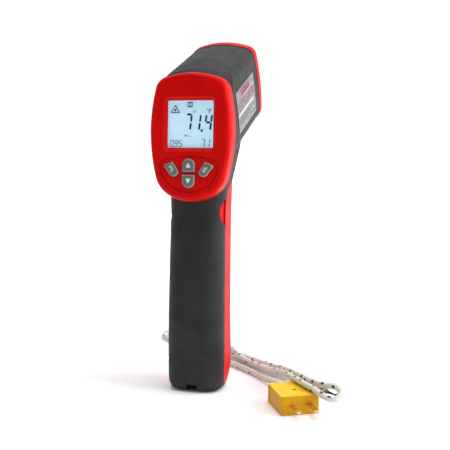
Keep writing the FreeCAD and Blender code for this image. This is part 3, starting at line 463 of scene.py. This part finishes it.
jacket = moulded("battery_jacket", (0.05, 0.055, 0.07), (0.08, 0.085, 0.10), (0.25, 0.35), 900.0,
                 0.00001, Metallic=0.5)
rubber = moulded("silicone_rubber", (0.03, 0.03, 0.03), (0.06, 0.06, 0.06), (0.6, 0.75), 1400.0,
                 0.00003)
foam = moulded("sponge_foam", (0.02, 0.02, 0.02), (0.06, 0.06, 0.06), (0.8, 0.95), 1100.0,
               0.0003)
red_wire = moulded("red_wire_jacket", (0.42, 0.006, 0.006), (0.55, 0.01, 0.01), (0.35, 0.5),
                   1600.0, 0.00001)
black_wire = moulded("black_wire_jacket", (0.008, 0.008, 0.008), (0.016, 0.016, 0.016),
                     (0.35, 0.5), 1600.0, 0.00001)
dress(jacket, "battery_9v")
dress(rubber, "zebra_strips", "keypad_membrane")
dress(foam, "battery_pad")
dress(red_wire, "battery_wire_red")
dress(black_wire, "battery_wire_black", "sensor_cable")
inner = (board, jacket, rubber, foam, red_wire, black_wire)
print("inner finishes", [item.name for item in inner])

# %% [markdown]
# Glass comes in three kinds here. The infrared lens is a coated dark disc with a purple cast. The
# display's glass is lit from behind, so it gives off a little of its own pale blue light. The
# window in front is clear plastic that should be almost unseen, so most of it is left out of the
# mix with a low alpha.

# %% The glasses
lens_glass = finish_of("coated_lens", (0.05, 0.045, 0.07), 0.06, Coat_Weight=1.0,
                       Coat_Roughness=0.02, Metallic=0.6)
coating = noise(lens_glass, 60.0, 1.0)
link(lens_glass, tone(lens_glass, coating, (0.03, 0.03, 0.06), (0.10, 0.05, 0.11)),
     shader_of(lens_glass).inputs["Base Color"])
vary(lens_glass, noise(lens_glass, 300.0), "Roughness", 0.04, 0.10)
dress(lens_glass, "ir_lens", "laser_window")

lit_glass = finish_of("display_glass", (0.55, 0.77, 0.90), 0.25, Emission_Strength=0.58)
shader_of(lit_glass).inputs["Emission Color"].default_value = (0.50, 0.78, 0.95, 1.0)
glow = noise(lit_glass, 38.0, 3.0)
link(lit_glass, tone(lit_glass, glow, (0.46, 0.70, 0.84), (0.56, 0.79, 0.91)),
     shader_of(lit_glass).inputs["Base Color"])
vary(lit_glass, noise(lit_glass, 500.0), "Roughness", 0.2, 0.3)
grain(lit_glass, noise(lit_glass, 3000.0), 0.000004)
dress(lit_glass, "lcd_glass")

clear = finish_of("clear_window", (0.02, 0.03, 0.04), 0.05, Alpha=0.07)
vary(clear, noise(clear, 220.0), "Roughness", 0.03, 0.08)
dress(clear, "display_window")
print("glasses", lens_glass.name, lit_glass.name, clear.name)

# %% [markdown]
# Patterns that repeat or have sharp edges need sums rather than noise. Three helpers do them: one
# Math node, the reach of a vector in one direction, and a colour laid over another by a mask.


# %% Sums and masks
def reckon(material, operation, *values):
    """One Math node; a value is a number or a socket."""
    item = node(material, "Math")
    item.operation = operation
    for index, value in enumerate(values):
        if isinstance(value, (int, float)):
            item.inputs[index].default_value = value
        else:
            link(material, value, item.inputs[index])
    return item.outputs[0]


def along(material, source, direction):
    """How far a vector reaches in one direction."""
    item = node(material, "VectorMath")
    item.operation = "DOT_PRODUCT"
    link(material, source, item.inputs[0])
    item.inputs[1].default_value = direction
    return item.outputs["Value"]


def painted(material, mask, colour):
    """Lay one more colour over the base colour where the mask is 1."""
    mixer = node(material, "Mix")
    mixer.data_type = "RGBA"
    mixer.inputs["B"].default_value = (*colour, 1.0)
    base = shader_of(material).inputs["Base Color"]
    if base.is_linked:
        link(material, base.links[0].from_socket, mixer.inputs["A"])
    else:
        mixer.inputs["A"].default_value = base.default_value
    link(material, mask, mixer.inputs["Factor"])
    link(material, mixer.outputs["Result"], base)


print("helpers for sums and masks are ready")

# %% [markdown]
# The braid's pattern is worked out on the tube's own UV map. Two sets of slanted waves cross, one
# set for each hand of the braid, and their product stands for the yarns' crowns. A dark tracer
# yarn shows as a fleck where it comes to the surface, so a pattern of scattered cells is used as
# its mask: dark near the middle of a cell, clear elsewhere.

# %% The glass-fibre braid
braid = finish_of("glass_fibre_braid", (0.72, 0.69, 0.62), 0.75, Sheen_Weight=0.25,
                  Sheen_Roughness=0.5)
uv = node(braid, "UVMap")
uv.uv_map = "braid"


def slanted(operation):
    """Waves that climb round the cord in the direction that the operation gives."""
    mapping = node(braid, "Mapping", Scale=(6.0, 1200.0, 1.0))
    link(braid, uv.outputs["UV"], mapping.inputs["Vector"])
    parts = node(braid, "SeparateXYZ")
    link(braid, mapping.outputs["Vector"], parts.inputs["Vector"])
    total = reckon(braid, operation, parts.outputs["Y"], parts.outputs["X"])
    wave = reckon(braid, "SINE", reckon(braid, "MULTIPLY", total, math.pi))
    return reckon(braid, "ABSOLUTE", wave)


weave = reckon(braid, "MULTIPLY", slanted("ADD"), slanted("SUBTRACT"))
link(braid, tone(braid, weave, (0.66, 0.64, 0.58), (0.93, 0.92, 0.87), 0.05, 0.45),
     shader_of(braid).inputs["Base Color"])
fleck_place = node(braid, "Mapping", Scale=(2.0, 115.0, 1.0))
link(braid, uv.outputs["UV"], fleck_place.inputs["Vector"])
flecks = node(braid, "TexVoronoi", Scale=1.0, Randomness=0.6)
flecks.voronoi_dimensions = "2D"
link(braid, fleck_place.outputs["Vector"], flecks.inputs["Vector"])
painted(braid, spread(braid, flecks.outputs["Distance"], 0.14, 0.19, 1.0, 0.0),
        (0.012, 0.012, 0.02))
grain(braid, weave, 0.00025, 0.8)
dress(braid, lead)
print("braid", len(braid.node_tree.nodes), "nodes")

# %% [markdown]
# ## Figures on the display
# The figures are thin dark shapes just in front of the lit glass, leaned over by a few degrees.
# Everything on the display is laid out in the face's own frame: x to the right, y up, z out
# towards the reader. The barrel has such a frame too, for its labels.


# %% The frames of the face and the barrel
def frame_at(origin_mm, right, up):
    """A matrix from a part's own axes to the object's."""
    x = Vector(right).normalized()
    y = Vector(up).normalized()
    z = x.cross(y)
    matrix = Matrix((x, y, z)).transposed().to_4x4()
    matrix.translation = Vector(origin_mm) * MM
    return matrix


LEAN = math.radians(3.6)
RISE = math.radians(19.5)
FACE = frame_at((0, -23.3, 172.6), (1, 0, 0), (0, math.sin(LEAN), math.cos(LEAN)))
BARREL = frame_at((0, 65.5, 211.6), (1, 0, 0), (0, -math.sin(RISE), math.cos(RISE)))
print("face normal", [round(value, 3) for value in FACE.col[2][:3]])

# %% [markdown]
# Rounded edges of a pressed key catch the light, so their paler colour is a painted highlight.
# The paler colour follows the surface's own direction: where it turns away from the face's
# direction, the mask rises. The yellow plug gets the same kind of mask, the other way round, as
# painted shade: its upright sides are painted a deeper orange than its top, where less light
# falls.

# %% Painted highlight on key edges and painted shade on plug sides
UPWARD = (0, 0, 1)
OUTWARD = tuple(FACE.col[2][:3])


def turned_away(material, direction, start, end, strength):
    """A mask that rises to the strength as the surface turns away from the direction."""
    facing = along(material, node(material, "TexCoord").outputs["Normal"], direction)
    return reckon(material, "MULTIPLY", spread(material, facing, start, end), strength)


# Painted shade: the plug's upright sides get a deeper orange than its top, as if less light fell
# on them.
painted(yellow, turned_away(yellow, UPWARD, 0.75, 0.35, 0.8), (0.70, 0.31, 0.0005))
# Painted highlight: the keys' rounded edges get a paler colour, as if they caught the light.
painted(key_grey, turned_away(key_grey, OUTWARD, 0.985, 0.80, 0.6), (0.40, 0.38, 0.35))
print("edges painted on", yellow.name, "and", key_grey.name)

# %% [markdown]
# ## Printed labels
# Each side of the barrel has a silvery foil with print: a crimson block at the top, lines of
# small type, a white band and a grey patch. Real wording has no place here, so the type is only
# rows of dashes. Print has no thickness that a hand can feel, so it is painted in the material:
# two coordinates run across the foil, 0 to 1, and masks made of them pick out the areas.

# %% The foil and its print
LABEL_START, LABEL_TOP, LABEL_HEIGHT = 19.5, 12.8, 28.4
RIGHT_LENGTH, LEFT_LENGTH = 49.5, 33.5


def foil(name, length_mm):
    """Silvery foil; across goes from 0 to 1 along the barrel, down from 0 at the top edge."""
    material = finish_of(name, (0.22, 0.21, 0.23), 0.48, Metallic=0.3)
    clouds = noise(material, 420.0, 4.0, (1, 0.2, 1))
    link(material, tone(material, clouds, (0.19, 0.185, 0.20), (0.26, 0.25, 0.27)),
         shader_of(material).inputs["Base Color"])
    vary(material, noise(material, 700.0, 3.0), "Roughness", 0.32, 0.52)
    grain(material, noise(material, 1800.0, 2.0), 0.000008)
    place = node(material, "TexCoord")
    moved = node(material, "VectorMath")
    moved.operation = "SUBTRACT"
    link(material, place.outputs["Object"], moved.inputs[0])
    moved.inputs[1].default_value = BARREL.translation
    run = along(material, moved.outputs["Vector"], BARREL.col[2][:3])
    rise = along(material, moved.outputs["Vector"], BARREL.col[1][:3])
    across = reckon(material, "DIVIDE", reckon(material, "SUBTRACT", run, LABEL_START * MM),
                    length_mm * MM)
    down = reckon(material, "DIVIDE", reckon(material, "SUBTRACT", LABEL_TOP * MM, rise),
                  LABEL_HEIGHT * MM)

    def area(low_across, high_across, low_down, high_down):
        """1 inside a rectangle of the foil, else 0."""
        sides = reckon(material, "COMPARE", across, (low_across + high_across) / 2,
                       (high_across - low_across) / 2)
        ends = reckon(material, "COMPARE", down, (low_down + high_down) / 2,
                      (high_down - low_down) / 2)
        return reckon(material, "MULTIPLY", sides, ends)

    def type_rows(mask, rows_per_foil, letters_per_foil):
        """The mask cut into rows of dashes of uneven length."""
        row = reckon(material, "MULTIPLY", down, rows_per_foil)
        column = reckon(material, "MULTIPLY", across, letters_per_foil)
        cell = node(material, "CombineXYZ")
        link(material, reckon(material, "FLOOR", column), cell.inputs["X"])
        link(material, reckon(material, "FLOOR", row), cell.inputs["Y"])
        chance = node(material, "TexWhiteNoise")
        link(material, cell.outputs["Vector"], chance.inputs["Vector"])
        letter = reckon(material, "GREATER_THAN", chance.outputs["Value"], 0.22)
        inked = reckon(material, "COMPARE", reckon(material, "FRACT", row), 0.5, 0.27)
        both = reckon(material, "MULTIPLY", letter, inked)
        return reckon(material, "MULTIPLY", both, mask)

    for colour, mask in (
            ((0.21, 0.004, 0.020), area(0.28, 0.74, 0.05, 0.20)),
            ((0.40, 0.15, 0.19), type_rows(area(0.33, 0.70, 0.09, 0.16), 14.0, 9.0)),
            ((0.55, 0.44, 0.48), area(0.02, 0.62, 0.215, 0.24)),
            ((0.15, 0.012, 0.03), type_rows(area(0.05, 0.93, 0.26, 0.50), 16.5, 34.0)),
            ((0.60, 0.62, 0.64), area(0.02, 0.98, 0.545, 0.60)),
            ((0.18, 0.006, 0.02), area(0.02, 0.10, 0.55, 0.62)),
            ((0.03, 0.03, 0.035), type_rows(area(0.34, 0.95, 0.64, 0.82), 16.5, 40.0)),
            ((0.33, 0.34, 0.35), area(0.06, 0.30, 0.64, 0.86)),
            ((0.03, 0.03, 0.03), type_rows(area(0.06, 0.30, 0.64, 0.80), 12.0, 16.0)),
            ((0.01, 0.01, 0.01), type_rows(area(0.05, 0.36, 0.86, 0.94), 12.0, 13.0))):
        painted(material, mask, colour)
    return material


dress(foil("foil_right", RIGHT_LENGTH), "label_right")
dress(foil("foil_left", LEFT_LENGTH), "label_left")
print("labels", RIGHT_LENGTH, "and", LEFT_LENGTH, "mm long,", LABEL_HEIGHT, "mm high")

# %% [markdown]
# The figures and marks are all thin plates. A filled circle has one corner for each point of the
# outline; its corners are moved onto the outline, and it is then extruded in edit mode. A hollow
# mark is inset first, and its middle is deleted.


# %% Flat and hollow shapes on the face
PRINT_DEPTH, KEY_PRINT_DEPTH = 0.05, 0.06


def outline_in_edit(name, points_mm, level_mm):
    """A filled circle with its corners on this outline, left selected in edit mode."""
    bpy.ops.object.select_all(action="DESELECT")
    bpy.ops.mesh.primitive_circle_add(vertices=len(points_mm), radius=MM, fill_type="NGON")
    plate = primitive_done(name)
    twice_area = sum(a[0] * b[1] - b[0] * a[1]
                     for a, b in zip(points_mm, points_mm[1:] + points_mm[:1]))
    ordered = points_mm if twice_area > 0 else list(reversed(points_mm))
    for vertex, (x, y) in zip(plate.data.vertices, ordered):
        vertex.co = (x * MM, y * MM, level_mm * MM)
    bpy.ops.object.mode_set(mode="EDIT")
    bpy.ops.mesh.select_all(action="SELECT")
    return plate


def raised(plate, depth_mm):
    """Extrude what is selected, turn its faces outwards and put it on the face."""
    bpy.ops.mesh.extrude_region_move(TRANSFORM_OT_translate={"value": (0, 0, depth_mm * MM)})
    bpy.ops.mesh.select_all(action="SELECT")
    bpy.ops.mesh.normals_make_consistent(inside=False)
    bpy.ops.object.mode_set(mode="OBJECT")
    return place_in_mesh(plate, FACE)


def flat_shape(name, points_mm, level_mm, depth_mm):
    """A thin plate with this outline."""
    return raised(outline_in_edit(name, points_mm, level_mm), depth_mm)


def hollow_shape(name, points_mm, wall_mm, level_mm, depth_mm):
    """An outline with a wall of this width and nothing inside."""
    plate = outline_in_edit(name, points_mm, level_mm)
    bpy.ops.mesh.inset(thickness=wall_mm * MM, depth=0)
    bpy.ops.mesh.delete(type="FACE")
    bpy.ops.mesh.select_all(action="SELECT")
    return raised(plate, depth_mm)


def ring_points(x, y, radius, count=28):
    """Points round a circle about (x, y)."""
    return [(x + radius * math.cos(math.tau * step / count),
             y + radius * math.sin(math.tau * step / count)) for step in range(count)]


print("print depths", PRINT_DEPTH, KEY_PRINT_DEPTH, "mm")

# %% [markdown]
# The seven bars have names in the electronics trade: a to g, from the top bar clockwise, with g
# in the middle. A small table says which bars make each number. The bars have pointed ends, and
# differ in length and lean, so each is drawn from its own outline by the same helper.

# %% Seven-bar figures
BARS_OF = {"0": "abcdef", "1": "bc", "4": "bcfg", "5": "acdfg", "7": "abc", "9": "abcdfg"}
GLASS_FRONT = -3.62
# width, height and stroke of a figure
LARGE, FINE, SMALL = (3.8, 10.3, 1.25), (1.9, 4.2, 0.42), (2.3, 5.0, 0.5)


def bar_points(name, width, height, stroke):
    """The outline of one bar of a figure whose lower left corner is at (0, 0)."""
    half = height / 2
    gap = stroke * 0.18
    ends = {"a": ((0, height), (width, height)), "g": ((0, half), (width, half)),
            "d": ((0, 0), (width, 0)), "f": ((0, half), (0, height)),
            "b": ((width, half), (width, height)), "e": ((0, 0), (0, half)),
            "c": ((width, 0), (width, half))}[name]
    (x0, y0), (x1, y1) = ends
    s = stroke / 2
    if y0 == y1:
        return [(x0 + gap, y0), (x0 + gap + s, y0 - s), (x1 - gap - s, y0 - s), (x1 - gap, y0),
                (x1 - gap - s, y0 + s), (x0 + gap + s, y0 + s)]
    return [(x0, y0 + gap), (x0 + s, y0 + gap + s), (x0 + s, y1 - gap - s), (x0, y1 - gap),
            (x0 - s, y1 - gap - s), (x0 - s, y0 + gap + s)]


def figure(character, x, y, width, height, stroke, lean=0.12):
    """The bars of one number, leaned to the right."""
    result = []
    for name in BARS_OF[character]:
        outline = [(x + px + py * lean, y + py) for px, py in
                   bar_points(name, width, height, stroke)]
        result.append(flat_shape("bar", outline, GLASS_FRONT, PRINT_DEPTH))
    return result


large = []
for character, x in (("7", -4.6), ("1", 1.6), ("4", 9.3)):
    large += figure(character, x, 4.6, *LARGE)
large.append(flat_shape("dot", ring_points(7.4, 4.4, 0.85), GLASS_FRONT, PRINT_DEPTH))
reading = join("display_reading", large)
small = []
for character, x in (("0", -14.6), ("9", -11.6), ("5", -8.6)):
    small += figure(character, x, -6.2, *FINE)
for character, x in (("7", 6.8), ("1", 10.2)):
    small += figure(character, x, -6.2, *SMALL)
small.append(flat_shape("dot", ring_points(-12.1, -6.1, 0.25, 12), GLASS_FRONT, PRINT_DEPTH))
small_figures = join("display_small_figures", small)
print("figures", len(reading.data.polygons), len(small_figures.data.polygons))

# %% [markdown]
# Over the figures is a row of small symbols: a triangle with a dot, a boxed mark, a ring, and the
# degree sign with a letter for the unit.


# %% Display symbols
def bar(x, y, width, height, lean=0.0):
    """The four corners of a bar with its lower left corner at (x, y)."""
    return [(x, y), (x + width, y), (x + width + lean * height, y + height),
            (x + lean * height, y + height)]


def symbol(points, wall_mm=0.0):
    """A mark on the glass, hollow if it is given a wall."""
    if wall_mm:
        return hollow_shape("mark", points, wall_mm, GLASS_FRONT, PRINT_DEPTH)
    return flat_shape("mark", points, GLASS_FRONT, PRINT_DEPTH)


marks = [symbol([(-14.4, 15.9), (-7.8, 15.9), (-11.1, 21.3)], 0.55),
         symbol(ring_points(-11.1, 17.8, 0.75, 16)),
         symbol(bar(-2.7, 19.6, 3.5, 3.4), 0.5), symbol(bar(-1.4, 20.1, 0.9, 0.9)),
         symbol(bar(-1.4, 21.6, 0.9, 0.9)),
         symbol(ring_points(11.1, 18.2, 0.5, 16), 0.26),
         symbol(bar(12.0, 15.9, 0.5, 2.5, 0.12)), symbol(bar(12.3, 18.0, 1.5, 0.5)),
         symbol(bar(12.2, 17.0, 1.1, 0.45))]
display_marks = join("display_marks", marks)
faint = [symbol(ring_points(2.1, 16.8, 0.95, 20), 0.3), symbol(bar(-4.7, 0.4, 0.3, 1.5)),
         symbol(bar(-4.0, 0.4, 0.3, 1.5)), symbol(bar(-3.3, 0.4, 0.3, 1.5)),
         symbol(ring_points(-2.1, 0.9, 0.5, 12), 0.2), symbol(bar(-1.1, 0.4, 1.0, 0.35))]
faint_marks = join("display_faint_marks", faint)
print("symbols", len(marks), "dark and", len(faint), "faint")

# %% [markdown]
# The figures differ in how strongly they show. A segment that is fully switched gives a deep
# navy, the fine figures are a little weaker, and the marks of modes that are off are grey.

# %% Inks of the display
ink = moulded("display_ink", (0.002, 0.003, 0.040), (0.004, 0.006, 0.060), (0.5, 0.6), 3000.0,
              0.000002)
grey_ink = moulded("display_grey_ink", (0.16, 0.22, 0.26), (0.22, 0.29, 0.33), (0.3, 0.4),
                   3000.0, 0.000002)
small_ink = moulded("display_fine_ink", (0.012, 0.02, 0.05), (0.02, 0.03, 0.07), (0.3, 0.4),
                    3000.0, 0.000002)
dress(ink, reading, display_marks)
dress(grey_ink, faint_marks)
dress(small_ink, small_figures)
for piece in (reading, small_figures, display_marks, faint_marks):
    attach(piece, "housing")
print("inks", ink.name, grey_ink.name, small_ink.name)

# %% [markdown]
# ## Marks on the keys
# Each key carries a printed white mark, a little raised by its ink. The up and down keys have
# arrowheads. The side keys have plain bars. The marks ride on their own keys, so that they travel
# with them.

# %% Key marks
KEY_TOP = 1.31
white_ink = moulded("white_ink", (0.80, 0.80, 0.78), (0.9, 0.9, 0.88), (0.4, 0.5), 2600.0,
                    0.000004)
arrow_up = flat_shape("key_mark_up", [(-1.7, -19.9), (1.7, -19.9), (0, -16.7)], KEY_TOP,
                      KEY_PRINT_DEPTH)
arrow_down = flat_shape("key_mark_down", [(-1.7, -27.1), (1.7, -27.1), (0, -30.4)], KEY_TOP,
                        KEY_PRINT_DEPTH)


def turned_bars(name, centre, angle, rows):
    """Short bars beside each other, turned about the key's middle."""
    cosine, sine = math.cos(angle), math.sin(angle)
    pieces = []
    for x, y, width, height in rows:
        outline = [(centre[0] + px * cosine - py * sine, centre[1] + px * sine + py * cosine)
                   for px, py in bar(x, y, width, height)]
        pieces.append(flat_shape("mark", outline, KEY_TOP, KEY_PRINT_DEPTH))
    return join(name, pieces)


mark_right = turned_bars("key_mark_right", (11.7, -20.9), math.radians(58),
                         [(-2.0, -1.1, 0.6, 2.2), (-0.9, -1.1, 0.5, 2.2), (0.2, -1.1, 0.6, 2.2),
                          (1.2, -1.1, 0.7, 0.9)])
mark_left = turned_bars("key_mark_left", (-11.7, -20.9), math.radians(-58),
                        [(-2.0, -1.0, 0.6, 2.2), (-0.9, 0.0, 0.8, 1.1), (0.4, -1.0, 0.5, 2.2),
                         (1.3, -1.0, 0.6, 1.2)])
for mark, body in ((arrow_up, "button_up"), (arrow_down, "button_down"),
                   (mark_right, "button_right"), (mark_left, "button_left")):
    dress(white_ink, mark)
    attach(mark, body)
print("key marks", [mark.name for mark in (arrow_up, arrow_down, mark_right, mark_left)])

# %% [markdown]
# ## Floor and light
# The studio is a white table under large soft lamps. The strongest is a broad one overhead, the
# next stands to the right, and a weak one to the left, so the sides that face up or right are
# brighter than the face. The table gives off a little light of its own, more of it further back,
# so that it fades into the white backdrop without an edge. It isn't part of the object.

# %% Floor
bpy.ops.object.select_all(action="DESELECT")
bpy.ops.mesh.primitive_plane_add(size=12.0, location=(0, 2.0, -0.0002))
floor = place_in_mesh(primitive_done("floor"))
floor_finish = finish_of("table_top", (0.93, 0.93, 0.93), 0.9, Specular_IOR_Level=0.0)
floor_shader = shader_of(floor_finish)
floor_shader.inputs["Emission Color"].default_value = (1, 1, 1, 1)
link(floor_finish, tone(floor_finish, noise(floor_finish, 3.0), (0.92, 0.92, 0.92),
                        (0.95, 0.95, 0.95)), floor_shader.inputs["Base Color"])
depth = along(floor_finish, node(floor_finish, "TexCoord").outputs["Object"], (0, 1, 0))
link(floor_finish, spread(floor_finish, depth, 0.10, 0.75, 0.09, 1.0),
     floor_shader.inputs["Emission Strength"])
dress(floor_finish, floor)
print("floor at", round(floor.data.vertices[0].co.z, 5), "m")

# %% [markdown]
# Each lamp is a square that shines from its place at the middle of the thermometer. The backdrop
# is brighter behind the object than in front of it, which keeps the face's colours deep.


# %% Lights
def lamp(name, place, aim, size, power):
    """A square soft light that shines from one place at another."""
    data = bpy.data.lights.new(name, "AREA")
    data.shape = "SQUARE"
    data.size = size
    data.energy = power
    item = bpy.data.objects.new(name, data)
    bpy.context.scene.collection.objects.link(item)
    item.location = place
    direction = Vector(aim) - Vector(place)
    item.rotation_mode = "QUATERNION"
    item.rotation_quaternion = direction.to_track_quat("-Z", "Y")


lamp("key_light", (1.15, 0.10, 0.65), (0, 0, 0.13), 0.7, 10.0)
lamp("left_light", (-1.1, -0.25, 0.45), (0, 0, 0.13), 0.4, 0.4)
lamp("top_light", (0.1, -0.1, 1.5), (0, 0, 0.1), 1.2, 13.0)
world = bpy.data.worlds.new("studio")
bpy.context.scene.world = world
world.use_nodes = True
sky = world.node_tree
sky.nodes["Background"].inputs["Color"].default_value = (1, 1, 1, 1)
direction = sky.nodes.new("ShaderNodeTexCoord")
lean_of = sky.nodes.new("ShaderNodeVectorMath")
lean_of.operation = "DOT_PRODUCT"
lean_of.inputs[1].default_value = (0.25, 0.80, 0.10)
level = sky.nodes.new("ShaderNodeMapRange")
for socket, value in (("From Min", -0.45), ("From Max", 0.55), ("To Min", 0.08),
                      ("To Max", 1.05)):
    level.inputs[socket].default_value = value
sky.links.new(direction.outputs["Generated"], lean_of.inputs[0])
sky.links.new(lean_of.outputs["Value"], level.inputs["Value"])
sky.links.new(level.outputs["Result"], sky.nodes["Background"].inputs["Strength"])
bpy.context.scene.view_settings.view_transform = "Standard"
print("lights", [item.name for item in bpy.data.lights])
